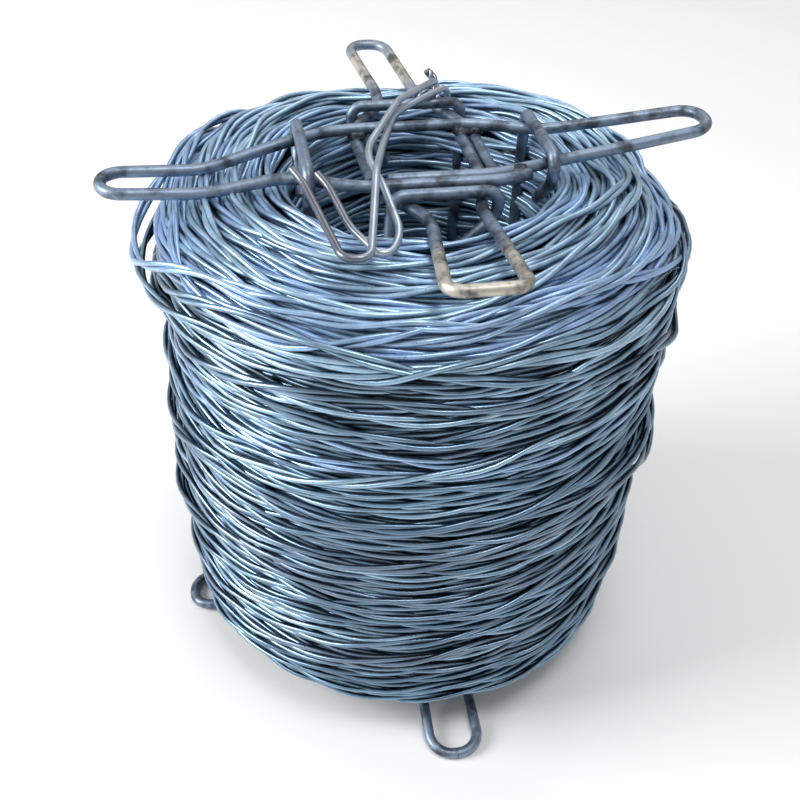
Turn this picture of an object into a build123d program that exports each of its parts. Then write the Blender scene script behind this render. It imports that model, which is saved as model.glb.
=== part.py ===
"""Roll of barbless fence wire on its carrier frame of bent rod, standing on end.

The origin lies on the roll's axis at floor level. The long loops lie along X, the cross loops along Y.
All lengths are in millimetres.
"""
import os
from math import copysign, cos, radians, sin, sqrt, tan

from build123d import *

# Wire and rod
strand_dia = 2.51  # one strand of 12.5 gauge wire
rod_dia = 4.1  # carrier rod, about 8 gauge
seat_gap = 0.3  # clearance between wires that rest on one another
floor_gap = 0.6  # lowest crossbars above the floor
leg_gap = 0.6  # legs off the bore's wall
ear_half_width = 8.0  # between a narrow ear's middle line and its strands
ear_bend_share = 0.8  # of the ear's half width, the radius of its corners
strand_bend_radius = 2.6
wire_sides = 8  # flats that stand for a round section, few so that the facets stay few
sharp_turn = 50  # degrees; slighter turns of a wire are mitred, which also keeps the facets few
bend_steps = 3  # short straight pieces that stand for a bend

# Wound roll
roll_radius = 91.0
roll_foot_radius = 88.5
bore_radius = 48.0
roll_height = 188.0
top_lip_drop = 6.0  # height of the rounded lip round the bore's mouth
foot_lip_drop = 5.0
top_shoulder_drop = 19.0
foot_shoulder_drop = 12.0
end_groove_depth = 1.8  # hollow between neighbouring bands of turns on the ends
wall_groove_depth = 2.2  # and down the wall
groove_share = 0.3  # of a band's height, the width of a groove
top_lip_share = 0.07  # of the winding's depth, the width of the lip
foot_lip_share = 0.08
top_shoulder_share = 0.90  # and the width of the rounded shoulder
foot_shoulder_share = 0.68
lip_steps = 2
top_bands = 3  # bands of turns that show over the shoulders and down the wall
foot_bands = 2
wall_bands = 7

# Levels, from the floor up
rod_pitch = rod_dia + seat_gap
rod_bend_radius = ear_bend_share * ear_half_width
strand_pitch = strand_dia + seat_gap
leg_radius = bore_radius - leg_gap - rod_dia / 2
floor_rod_z = rod_dia / 2
low_bar_z = floor_rod_z + floor_gap
low_long_z = low_bar_z + rod_pitch
low_cross_z = low_long_z + rod_pitch
roll_foot_z = low_cross_z + rod_dia / 2 + seat_gap
roll_top_z = roll_foot_z + roll_height
top_cross_z = roll_top_z + seat_gap + rod_dia / 2
top_long_z = top_cross_z + rod_pitch
tail_rest_z = top_long_z + (rod_dia + strand_dia) / 2 + seat_gap

# Rows of the share tables below: along, across and, on an ear, lift.
# Along counts 0 to 1 from the axis to the bore's wall, 1 to 2 through the winding, and more past it.
# Across is a share of the bore's radius, or of ear_half_width on an ear.
# Lift is a share of the piece's own unit.
# Long loop, from its lapped front end round the left ear and the right ear to its other end
long_lapped_shares = ((0.68, -0.33), (0.47, -0.40), (-0.51, -0.40))
long_back_shares = ((-0.95, 0.25), (-0.57, 0.42), (0.47, 0.42), (0.95, 0.25))
long_return_shares = ((0.95, -0.25), (0.47, -0.40), (-0.30, -0.40))
long_neck_shares = ((-0.95, -0.27),)
top_left_ear_shares = (
    (-1.58, -1.08, -1.65),
    (-2.36, -0.97, -1.3),
    (-2.36, 0.97, -1.3),
    (-1.58, 1.08, -1.65),
)
top_right_ear_shares = ((2.22, 1.02, 1.7), (2.22, -1.02, 1.7))
low_left_ear_shares = ((-2.06, -0.97, -1), (-2.06, 0.97, -1))
low_right_ear_shares = ((2.10, 1.02, -1), (2.10, -1.02, -1))

# Cross loop, from its inner end round the front ear and the back ear to its lapped end
cross_start_shares = ((0.38, 0.39), (-0.27, 0.39), (-0.71, 0.28))
cross_left_shares = ((-0.76, -0.08), (-0.42, -0.38), (0.57, -0.41), (1.11, -0.09))
cross_right_shares = ((1.26, 0.20),)
cross_lapped_shares = ((0.53, 0.39), (-0.34, 0.39))
top_front_ear_shares = ((-1.99, 1.71, 1.6), (-1.99, -1.29, 1.6))
top_back_ear_shares = ((2.20, -1.41, 1.1), (2.20, 0.46, 1.1))
low_front_ear_shares = ((-2.16, 1.71, -1), (-2.16, -0.69, -1))
low_back_ear_shares = ((2.10, -0.90, -1), (2.10, 1.02, -1))

# Legs: how far beside the strand each stands, in rod pitches, which grows with the strand's slant
right_beside_share = 1.12
left_beside_share = 1.18
back_beside_share = 1.15
front_beside_share = 1.40
front_bar_share = -0.64  # place along the cross loop of the front leg's crossbar
front_lean_angle = 24  # degrees from the front, where the front leg meets the bore's wall
lean_depth_share = 0.57  # of the bore's radius, the height over which it leans out
hook_reach_share = 1.25  # of the rod pitch, how far past a strand a hook turns down
hook_tail_in_share = 0.17  # of the bore's radius, how far a hook's tail runs back in
hook_tail_down_share = 0.27
wall_steps = 12  # rounds of the search for a leg's place against the wall

# Wire's end: hook places along the cross loop, then rows of the route over the long loop
outer_hook_share = 0.95
inner_hook_share = 1.10
outer_tail_shares = (
    (-0.11, 0.48, 0.06),
    (-0.28, -0.06, 0.4),
    (-0.41, -0.57, 1.5),
    (-0.57, -1.38, -1.4),
    (-0.74, -1.36, -1.4),
    (-0.89, -0.63, 0.9),
    (-0.95, -0.50, 1.5),
)
inner_tail_shares = (
    (-0.06, 0.54, 1.5),
    (-0.43, -0.19, 0.6),
    (-0.37, -0.64, 0.06),
    (-0.33, -1.10, -1.6),
    (-0.47, -1.34, -2.3),
    (-0.64, -1.00, -1.4),
    (-0.73, -0.63, 0.3),
    (-0.79, -0.52, 1.0),
)


def outward(along_share):
    """Signed distance from the axis of a place along a loop."""
    within = min(abs(along_share), 1) * bore_radius
    beyond = max(abs(along_share) - 1, 0) * (roll_radius - bore_radius)
    return copysign(within + beyond, along_share)


def waist(shares, level, lap=0):
    """Places of a loop's middle, from rows of shares; lap moves them out beside another strand."""
    return [
        (outward(along), across * bore_radius + copysign(lap, across), level) for along, across in shares
    ]


def ear(shares, level, lift_unit):
    """Places of a loop's ear, from rows of shares."""
    return [
        (outward(along), across * ear_half_width, level + lift * lift_unit)
        for along, across, lift in shares
    ]


def long_loop(left_ear, right_ear, level, lift_unit):
    """Route of a long loop with the given ears."""
    return (
        waist(long_lapped_shares, level, rod_pitch + seat_gap)
        + waist(long_neck_shares, level)
        + ear(left_ear, level, lift_unit)
        + waist(long_back_shares, level)
        + ear(right_ear, level, lift_unit)
        + waist(long_return_shares, level)
    )


def cross_loop(front_ear, back_ear, level, lift_unit):
    """Route of a cross loop with the given ears."""
    return (
        waist(cross_start_shares, level)
        + ear(front_ear, level, lift_unit)
        + waist(cross_left_shares, level)
        + ear(back_ear, level, lift_unit)
        + waist(cross_right_shares, level)
        + waist(cross_lapped_shares, level, rod_pitch + seat_gap)
    )


def strand_across(route, along, side):
    """Across place of a loop's outermost strand on one side, at a place along it."""
    found = 0
    for (start, start_across, _), (end, end_across, _) in zip(route, route[1:]):
        if min(start, end) <= along <= max(start, end) and start != end:
            across = start_across + (along - start) / (end - start) * (end_across - start_across)
            found = max(found, side * across)
    return side * found


def hook(route, along, start_across, side, level, up):
    """Places of a leg's hook over a loop, from its tail to the crossbar's start; up is 1 or -1."""
    strand = strand_across(route, along, -side)
    far = strand - side * rod_pitch * hook_reach_share
    tail = strand + side * hook_tail_in_share * bore_radius
    under = level - up * rod_pitch
    return [
        (along, tail, under - up * hook_tail_down_share * bore_radius),
        (along, far, under),
        (along, far, level + up * rod_pitch),
        (along, start_across, level + up * rod_pitch),
    ]


def wall_along(route, end, side, beside_share):
    """Place along a loop where a leg beside its strand meets the bore's wall; end and side are 1 or -1."""
    along = end * leg_radius
    for _ in range(wall_steps):
        across = strand_across(route, along, side) + side * rod_pitch * beside_share
        along = end * sqrt(leg_radius**2 - across**2)
    return along


def leg(route, along, side, beside_share, top_level, foot_level, lean=()):
    """Route of a leg: the hook over the top loop, the run down the bore and the like hook at the foot."""
    start_across = strand_across(route, along, side) + side * rod_pitch * beside_share
    top = hook(route, along, start_across, side, top_level, 1)
    foot = hook(route, along, start_across, side, foot_level, -1)
    return top + list(lean) + foot[::-1]


def crosswise(places):
    """Turn (along, across, z) places of a cross loop into points, along Y."""
    return [(across, along, z) for along, across, z in places]


def tail(hook_share, shares):
    """Route of one strand of the wire's end, from its hook round the cross loop."""
    along = outward(hook_share)
    beside = strand_across(top_cross, along, 1) + (rod_dia + strand_dia) / 2 + 2 * seat_gap
    return [(beside, along, top_cross_z), (beside, along, tail_rest_z)] + [
        (x * bore_radius, y * bore_radius, tail_rest_z + lift * strand_pitch) for x, y, lift in shares
    ]


def bend(before, corner, after, bend_radius):
    """Places of a corner of a wire, with short straight pieces for the bend where the turn is sharp."""
    came, goes = (corner - before).normalized(), (after - corner).normalized()
    turn = radians(came.get_angle(goes))
    if turn < radians(sharp_turn):
        return [corner]
    middle = corner + (goes - came).normalized() * (bend_radius / cos(turn / 2))
    start = corner - came * (bend_radius * tan(turn / 2)) - middle
    end = corner + goes * (bend_radius * tan(turn / 2)) - middle
    shares = [step / bend_steps for step in range(bend_steps + 1)]
    return [
        middle + start * (sin(turn * (1 - share)) / sin(turn)) + end * (sin(turn * share) / sin(turn))
        for share in shares
    ]


def bent_wire(points, diameter, bend_radius):
    """Sweep a wire along straight runs joined by bends."""
    places = [Vector(*point) for point in points]
    route = [places[0]]
    for before, corner, after in zip(places, places[1:], places[2:]):
        route += bend(before, corner, after, bend_radius)
    with BuildPart() as wire:
        with BuildLine() as line:
            Polyline(*route, places[-1])
        with BuildSketch(Plane(origin=line.line @ 0, z_dir=line.line % 0)):
            RegularPolygon(diameter / 2, wire_sides)
        sweep(transition=Transition.RIGHT)
    return wire


def lip(reach, level, drop, up):
    """Rounded lip of the bore's mouth in section, from the bore's wall up; up is 1 or -1."""
    angles = [radians(90) * step / lip_steps for step in range(lip_steps + 1)]
    return [
        (bore_radius + reach * (1 - cos(angle)), level - up * drop * (1 - sin(angle)))
        for angle in angles
    ]


def shoulder(radius, reach, level, drop, bands, up):
    """Banded shoulder of the roll in section, from its crest out to the wall; up is 1 or -1."""
    points = []
    for step in range(2 * bands + 1):
        angle = radians(90) * step / (2 * bands)
        depth = end_groove_depth * (step % 2)
        out = radius - reach + (reach - depth) * sin(angle)
        points.append((out, level - up * (drop - (drop - depth) * cos(angle))))
    return points


def wall(top, foot):
    """Grooves between the wall's bands in section, from its top edge to its foot edge."""
    points = []
    for band in range(1, wall_bands):
        for offset, depth in ((-1, 0), (0, wall_groove_depth), (1, 0)):
            share = (band + offset * groove_share / 2) / wall_bands
            radius = top[0] + (foot[0] - top[0]) * share - depth
            points.append((radius, top[1] + (foot[1] - top[1]) * share))
    return points


# Wound roll: one turned solid with its bore, the bands of its turns on its ends and wall
with BuildPart() as wire_roll:
    top_reach, foot_reach = roll_radius - bore_radius, roll_foot_radius - bore_radius
    top_lip = lip(top_lip_share * top_reach, roll_top_z, top_lip_drop, 1)
    foot_lip = lip(foot_lip_share * foot_reach, roll_foot_z, foot_lip_drop, -1)
    top_end = shoulder(
        roll_radius, top_shoulder_share * top_reach, roll_top_z, top_shoulder_drop, top_bands, 1
    )
    foot_end = shoulder(
        roll_foot_radius, foot_shoulder_share * foot_reach, roll_foot_z, foot_shoulder_drop, foot_bands, -1
    )
    with BuildSketch(Plane.XZ):
        with BuildLine():
            side = wall(top_end[-1], foot_end[-1])
            Polyline(*top_lip, *top_end, *side, *foot_end[::-1], *foot_lip[::-1], close=True)
        make_face()
    revolve(axis=Axis.Z)

# Carrier frame
top_long = long_loop(top_left_ear_shares, top_right_ear_shares, top_long_z, rod_dia)
low_long = long_loop(low_left_ear_shares, low_right_ear_shares, low_long_z, low_long_z - floor_rod_z)
top_cross = cross_loop(top_front_ear_shares, top_back_ear_shares, top_cross_z, rod_dia)
low_cross = cross_loop(low_front_ear_shares, low_back_ear_shares, low_cross_z, low_cross_z - floor_rod_z)
right_along = wall_along(top_long, 1, 1, right_beside_share)
left_along = wall_along(top_long, -1, -1, left_beside_share)
back_along = wall_along(top_cross, 1, 1, back_beside_share)
front_along = outward(front_bar_share)
lean_along = -leg_radius * cos(radians(front_lean_angle))
lean_across = -leg_radius * sin(radians(front_lean_angle))
front_lean = [
    (lean_along, lean_across, top_cross_z - lean_depth_share * bore_radius),
    (lean_along, lean_across, low_cross_z + lean_depth_share * bore_radius),
]
rods = {
    "top_long_loop": top_long,
    "bottom_long_loop": low_long,
    "top_cross_loop": crosswise(top_cross),
    "bottom_cross_loop": crosswise(low_cross),
    "right_leg": leg(top_long, right_along, 1, right_beside_share, top_long_z, low_long_z),
    "left_leg": leg(top_long, left_along, -1, left_beside_share, top_long_z, low_long_z),
    "back_leg": crosswise(leg(top_cross, back_along, 1, back_beside_share, top_cross_z, low_cross_z)),
    "front_leg": crosswise(
        leg(top_cross, front_along, -1, front_beside_share, top_cross_z, low_cross_z, front_lean)
    ),
}
strands = {
    "tail_strand_outer": tail(outer_hook_share, outer_tail_shares),
    "tail_strand_inner": tail(inner_hook_share, inner_tail_shares),
}
pieces = {"wire_roll": wire_roll}
for name, points in rods.items():
    pieces[name] = bent_wire(points, rod_dia, rod_bend_radius if name.endswith("loop") else rod_pitch)
for name, points in strands.items():
    pieces[name] = bent_wire(points, strand_dia, strand_bend_radius)

os.makedirs("parts", exist_ok=True)
for name, piece in pieces.items():
    piece.part.label = name
    export_step(piece.part, f"parts/{name}.step")
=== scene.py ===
"""Visual pass for the roll of barbless wire on its carrier frame of bent rod."""
import logging
import math
from collections.abc import Callable
from dataclasses import dataclass, field, replace
from enum import Enum

import bmesh
import bpy
import numpy as np
from mathutils import Matrix, Vector, noise


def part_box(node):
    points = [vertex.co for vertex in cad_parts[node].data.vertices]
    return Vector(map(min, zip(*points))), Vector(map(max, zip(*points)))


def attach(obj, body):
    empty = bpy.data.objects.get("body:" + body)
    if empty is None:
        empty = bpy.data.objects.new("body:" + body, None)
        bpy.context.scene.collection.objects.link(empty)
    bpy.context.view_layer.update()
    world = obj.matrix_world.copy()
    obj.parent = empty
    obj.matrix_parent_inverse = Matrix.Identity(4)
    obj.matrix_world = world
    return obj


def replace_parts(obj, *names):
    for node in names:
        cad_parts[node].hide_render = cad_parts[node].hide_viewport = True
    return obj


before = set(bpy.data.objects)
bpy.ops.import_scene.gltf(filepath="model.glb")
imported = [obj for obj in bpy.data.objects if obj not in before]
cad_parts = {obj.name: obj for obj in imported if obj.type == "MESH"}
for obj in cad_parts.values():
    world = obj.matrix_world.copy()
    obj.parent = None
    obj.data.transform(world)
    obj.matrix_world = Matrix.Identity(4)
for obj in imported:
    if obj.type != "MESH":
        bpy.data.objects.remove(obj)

LOG = logging.getLogger("wire_roll")
MM = 0.001
TURN = 2 * math.pi
TINY = 1e-6
UP = np.array((0, 0, 1))
NOISE_SEED = 5

# Sockets of a Mix node for colours, which share their names with its sockets for numbers.
MIX_FROM, MIX_TO, MIX_RESULT = 6, 7, 2

Point = tuple[float, float, float]
Colour = tuple[float, float, float]
Rows = tuple[tuple[float, ...], ...]


class Region(Enum):
    """Parts of the winding that are kept as pieces of their own."""

    BORE = "turns_bore"
    TOP = "turns_top"
    WALL_UPPER = "turns_wall_upper"
    WALL_MIDDLE = "turns_wall_middle"
    WALL_LOWER = "turns_wall_lower"
    FOOT = "turns_foot"


class Slot(Enum):
    """Material slots of the part's record."""

    WIRE = "galvanised_wire"
    ROD = "carrier_rod"
    TAIL = "tail_wire"


def add_node(tree: bpy.types.NodeTree, kind: str, **values: object) -> bpy.types.Node:
    """Add a shader node and set its properties and inputs.

    Args:
        tree: Node tree that takes the node.
        kind: Blender's type name of the node.
        values: Properties by name; a name that is no property sets the input of that name.

    Returns:
        The new node.
    """
    node = tree.nodes.new(kind)
    for name, value in values.items():
        if hasattr(node, name):
            setattr(node, name, value)
        else:
            node.inputs[name.replace("_", " ")].default_value = value
    return node


def patch_group() -> bpy.types.NodeTree:
    """Make or find the shared group that blends two colours by soft patches of noise.

    Returns:
        Node group with a colour, a roughness and a height.
    """
    found = bpy.data.node_groups.get("metal_patches")
    if found:
        return found
    patch_edge = (0.42, 0.66)
    grain_scale = 900.0
    tree = bpy.data.node_groups.new("metal_patches", "ShaderNodeTree")
    for name in ("Ground", "Patch"):
        tree.interface.new_socket(name, in_out="INPUT", socket_type="NodeSocketColor")
    for name in ("Scale", "Spread", "Smoothest", "Roughest"):
        tree.interface.new_socket(name, in_out="INPUT", socket_type="NodeSocketFloat")
    for name, kind in (("Color", "Color"), ("Roughness", "Float"), ("Height", "Float")):
        tree.interface.new_socket(name, in_out="OUTPUT", socket_type="NodeSocket" + kind)
    given = add_node(tree, "NodeGroupInput")
    taken = add_node(tree, "NodeGroupOutput")
    place = add_node(tree, "ShaderNodeTexCoord")
    cloud = add_node(tree, "ShaderNodeTexNoise", Detail=4.0, Roughness=0.6)
    grain = add_node(tree, "ShaderNodeTexNoise", Scale=grain_scale, Detail=2.0)
    amount = add_node(tree, "ShaderNodeMath", operation="MULTIPLY")
    contrast = add_node(
        tree,
        "ShaderNodeMapRange",
        interpolation_type="SMOOTHSTEP",
        From_Min=patch_edge[0],
        From_Max=patch_edge[1],
    )
    blend = add_node(tree, "ShaderNodeMix", data_type="RGBA")
    rough = add_node(tree, "ShaderNodeMapRange")
    link = tree.links.new
    link(place.outputs["Object"], cloud.inputs["Vector"])
    link(place.outputs["Object"], grain.inputs["Vector"])
    link(given.outputs["Scale"], cloud.inputs["Scale"])
    link(cloud.outputs["Fac"], contrast.inputs["Value"])
    link(contrast.outputs["Result"], amount.inputs[0])
    link(given.outputs["Spread"], amount.inputs[1])
    link(amount.outputs["Value"], blend.inputs["Factor"])
    link(given.outputs["Ground"], blend.inputs[MIX_FROM])
    link(given.outputs["Patch"], blend.inputs[MIX_TO])
    link(grain.outputs["Fac"], rough.inputs["Value"])
    link(given.outputs["Smoothest"], rough.inputs["To Min"])
    link(given.outputs["Roughest"], rough.inputs["To Max"])
    link(blend.outputs[MIX_RESULT], taken.inputs["Color"])
    link(rough.outputs["Result"], taken.inputs["Roughness"])
    link(grain.outputs["Fac"], taken.inputs["Height"])
    return tree


@dataclass(frozen=True)
class MetalFinish:
    """Scuffed bare metal whose colour runs over a few tones, with painted light and shade: it darkens to a
    painted shade colour on the side of each wire turned down and in, between wires, and keeps its tone on the
    upper side.
    """

    name: str
    tones: Rows
    patch: Colour
    patch_scale: float
    patch_spread: float
    # Colour of the painted shade on the side of each wire turned down and in, and the span of facing over
    # which it gives way to the tone.
    painted_shade: Colour
    painted_light_span: tuple[float, float] = (-1.0, 0.0)
    rough_span: tuple[float, float] = (0.22, 0.40)
    metallic: float = 0.85
    coat: float = 0.2
    coat_roughness: float = 0.18
    bump: float = 0.08
    bump_depth: float = 0.3

    def material(self) -> bpy.types.Material:
        """Build the material.

        Returns:
            Principled material that reads the piece's tone attribute and its attribute of painted light and
            shade.
        """
        material = bpy.data.materials.new(self.name)
        material.use_nodes = True
        tree = material.node_tree
        shader = tree.nodes["Principled BSDF"]
        shader.inputs["Metallic"].default_value = self.metallic
        shader.inputs["Coat Weight"].default_value = self.coat
        shader.inputs["Coat Roughness"].default_value = self.coat_roughness
        tone = add_node(tree, "ShaderNodeAttribute", attribute_name="tone")
        ramp = add_node(tree, "ShaderNodeValToRGB")
        stops = ramp.color_ramp.elements
        while len(stops) < len(self.tones):
            stops.new(0.5)
        for index, colour in enumerate(self.tones):
            stops[index].position = index / (len(self.tones) - 1)
            stops[index].color = (*colour, 1)
        patches = add_node(
            tree,
            "ShaderNodeGroup",
            node_tree=patch_group(),
            Patch=(*self.patch, 1),
            Scale=self.patch_scale,
            Spread=self.patch_spread,
            Smoothest=self.rough_span[0],
            Roughest=self.rough_span[1],
        )
        relief = add_node(tree, "ShaderNodeBump", Strength=self.bump, Distance=self.bump_depth * MM)
        # Painted light and shade: each vertex's facing blends the base colour from the painted shade colour
        # to the tone.
        painted_light = add_node(tree, "ShaderNodeAttribute", attribute_name="painted_light")
        facing = add_node(
            tree,
            "ShaderNodeMapRange",
            interpolation_type="SMOOTHSTEP",
            From_Min=self.painted_light_span[0],
            From_Max=self.painted_light_span[1],
        )
        painted_shading = add_node(tree, "ShaderNodeMix", data_type="RGBA")
        painted_shading.inputs[MIX_FROM].default_value = (*self.painted_shade, 1)
        link = tree.links.new
        link(tone.outputs["Fac"], ramp.inputs["Fac"])
        link(ramp.outputs["Color"], patches.inputs["Ground"])
        link(painted_light.outputs["Fac"], facing.inputs["Value"])
        link(facing.outputs["Result"], painted_shading.inputs["Factor"])
        link(patches.outputs["Color"], painted_shading.inputs[MIX_TO])
        link(painted_shading.outputs[MIX_RESULT], shader.inputs["Base Color"])
        link(patches.outputs["Roughness"], shader.inputs["Roughness"])
        link(patches.outputs["Height"], relief.inputs["Height"])
        link(relief.outputs["Normal"], shader.inputs["Normal"])
        return material


@dataclass(frozen=True)
class PlainFinish:
    """One even colour without shine, for the shaded inside and for the floor."""

    name: str
    colour: Colour
    roughness: float = 0.9
    shine: float = 0.1

    def material(self) -> bpy.types.Material:
        """Build the material.

        Returns:
            Principled material of one colour.
        """
        material = bpy.data.materials.new(self.name)
        material.use_nodes = True
        shader = material.node_tree.nodes["Principled BSDF"]
        shader.inputs["Base Color"].default_value = (*self.colour, 1)
        shader.inputs["Roughness"].default_value = self.roughness
        shader.inputs["Specular IOR Level"].default_value = self.shine
        return material


def add_piece(name: str, mesh: bpy.types.Mesh, material: bpy.types.Material, slot: Slot) -> bpy.types.Object:
    """Put a mesh in the scene as a piece of the part.

    Args:
        name: Name of the piece.
        mesh: Its mesh, in the part's frame.
        material: Its finish.
        slot: Material slot of the record that it shows; not used.

    Returns:
        The new object.
    """
    mesh.materials.clear()
    mesh.materials.append(material)
    piece = bpy.data.objects.new(name, mesh)
    bpy.context.scene.collection.objects.link(piece)
    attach(piece, "root")
    LOG.info("%s: %d faces", name, len(mesh.polygons))
    return piece


@dataclass
class WireSkein:
    """Round wires gathered in one curve and turned into one mesh."""

    name: str
    diameter: float
    sides: int = 8
    smooth_steps: int = 6
    capped: bool = False
    curve: bpy.types.Curve = field(init=False)
    tones: list[float] = field(init=False, default_factory=list)
    facings: list[np.ndarray] = field(init=False, default_factory=list)

    def __post_init__(self) -> None:
        """Start the curve."""
        self.curve = bpy.data.curves.new(self.name, "CURVE")
        self.curve.dimensions = "3D"
        self.curve.bevel_depth = self.diameter / 2 * MM
        # A bevel of resolution n has 2 n + 4 sides.
        self.curve.bevel_resolution = self.sides // 2 - 2
        self.curve.resolution_u = self.smooth_steps
        self.curve.use_fill_caps = self.capped

    def add_strand(
        self, points: np.ndarray, closed: bool, tone: float, facings: np.ndarray | None = None
    ) -> None:
        """Add a strand through many close points.

        Args:
            points: Rows of x, y and z in millimetres.
            closed: Whether the last point leads on to the first.
            tone: Place of the strand's colour on the finish's row of tones.
            facings: Direction at each point towards which the wire is painted lightest; the side turned away
                takes painted shade; without, no side is shaded.
        """
        spline = self.curve.splines.new("POLY")
        spline.points.add(len(points) - 1)
        spline.points.foreach_set("co", np.c_[points * MM, np.ones(len(points))].astype(np.float32).ravel())
        spline.use_cyclic_u = closed
        self.tones.append(tone)
        if facings is not None:
            self.facings.append(facings)

    def add_bent(self, points: list[Point], bend: Callable[[Vector], float], slight_bend: float) -> None:
        """Add a wire of straight runs joined by round bends, whose tones are given to mesh by place.

        Args:
            points: Corners of the route in millimetres.
            bend: Gives the radius of a sharp bend from its corner.
            slight_bend: Radius where it turns little.
        """
        knots = bend_knots([Vector(point) for point in points], bend, slight_bend)
        spline = self.curve.splines.new("BEZIER")
        spline.bezier_points.add(len(knots) - 1)
        for knot, (before, place, after) in zip(spline.bezier_points, knots):
            knot.handle_left_type = knot.handle_right_type = "FREE"
            knot.handle_left, knot.co, knot.handle_right = before * MM, place * MM, after * MM

    def mesh(self, tone_at: Callable[[np.ndarray], np.ndarray] | None = None) -> bpy.types.Mesh:
        """Turn the curve into a smooth mesh with a tone and a value of painted light and shade at each
        vertex.

        Args:
            tone_at: Gives each vertex's tone from its place in millimetres, instead of the strand's own.

        Returns:
            The mesh; the curve is removed.
        """
        holder = bpy.data.objects.new(self.name, self.curve)
        bpy.context.scene.collection.objects.link(holder)
        bpy.context.view_layer.update()
        shape = holder.evaluated_get(bpy.context.evaluated_depsgraph_get())
        mesh = bpy.data.meshes.new_from_object(shape)
        mesh.name = self.name
        spots = np.empty(3 * len(mesh.vertices), np.float32)
        mesh.vertices.foreach_get("co", spots)
        spots = spots.reshape(-1, 3) / MM
        painted_light_values = np.ones(len(spots))
        # Painted light and shade: how far each vertex faces the way of the painted light; 1 where no side is
        # shaded.
        if self.facings:
            rings = spots.reshape(-1, self.sides, 3)
            away = (rings - rings.mean(axis=1, keepdims=True)) * 2 / self.diameter
            painted_light_values = np.einsum("rsx,rx->rs", away, np.concatenate(self.facings)).ravel()
        if tone_at:
            tones = tone_at(spots)
        else:
            counts = [len(spline.points) * self.sides for spline in self.curve.splines]
            # Caps add vertices, so the row is filled up with tones from its start.
            tones = np.resize(np.repeat(self.tones, counts), len(spots))
        for attribute, values in (("tone", tones), ("painted_light", painted_light_values)):
            layer = mesh.attributes.new(attribute, "FLOAT", "POINT")
            layer.data.foreach_set("value", values.astype(np.float32))
        mesh.polygons.foreach_set("use_smooth", np.ones(len(mesh.polygons), bool))
        bpy.data.objects.remove(holder)
        bpy.data.curves.remove(self.curve)
        return mesh


def bend_knots(
    points: list[Vector], bend: Callable[[Vector], float], slight_bend: float
) -> list[tuple[Vector, Vector, Vector]]:
    """Round the corners of a route.

    Args:
        points: Corners of the route.
        bend: Gives the radius of a sharp bend from its corner.
        slight_bend: Radius of the slight ones.

    Returns:
        Bezier knots as left handle, place and right handle.
    """
    sharp_turn = math.radians(50)
    room_share = 0.46
    first = (points[1] - points[0]).normalized()
    knots = [(points[0] - first, points[0], points[0] + first)]
    for before, corner, after in zip(points, points[1:], points[2:]):
        came, goes = (corner - before).normalized(), (after - corner).normalized()
        turn = came.angle(goes)
        radius = bend(corner) if turn > sharp_turn else slight_bend
        room = room_share * min((corner - before).length, (after - corner).length)
        reach = min(radius * math.tan(turn / 2), room)
        # Handle length with which a Bezier curve follows an arc of this turn.
        pull = reach * 4 / 3 * math.tan(turn / 4) / max(math.tan(turn / 2), TINY)
        start, end = corner - came * reach, corner + goes * reach
        knots.append((start - came * pull / 2, start, start + came * pull))
        knots.append((end - goes * pull, end, end + goes * pull / 2))
    last = (points[-1] - points[-2]).normalized()
    return knots + [(points[-1] - last, points[-1], points[-1] + last)]


def by_hand(points: list[Point], run: float, wobble: float) -> list[Point]:
    """Give a route's straight runs the slight crookedness of wire bent by hand.

    Args:
        points: Corners of the route.
        run: Length of the shortest run that is crooked.
        wobble: How far its middle strays.

    Returns:
        The corners with crooked middles between them.
    """
    waver_pitch = 0.37
    places = [Vector(point) for point in points]
    route = [places[0]]
    for start, end in zip(places, places[1:]):
        count = int((end - start).length / run)
        for step in range(1, count):
            spot = start.lerp(end, step / count)
            route.append(spot + wobble * noise.noise_vector(spot * waver_pitch))
        route.append(end)
    return [tuple(place) for place in route]


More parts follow.
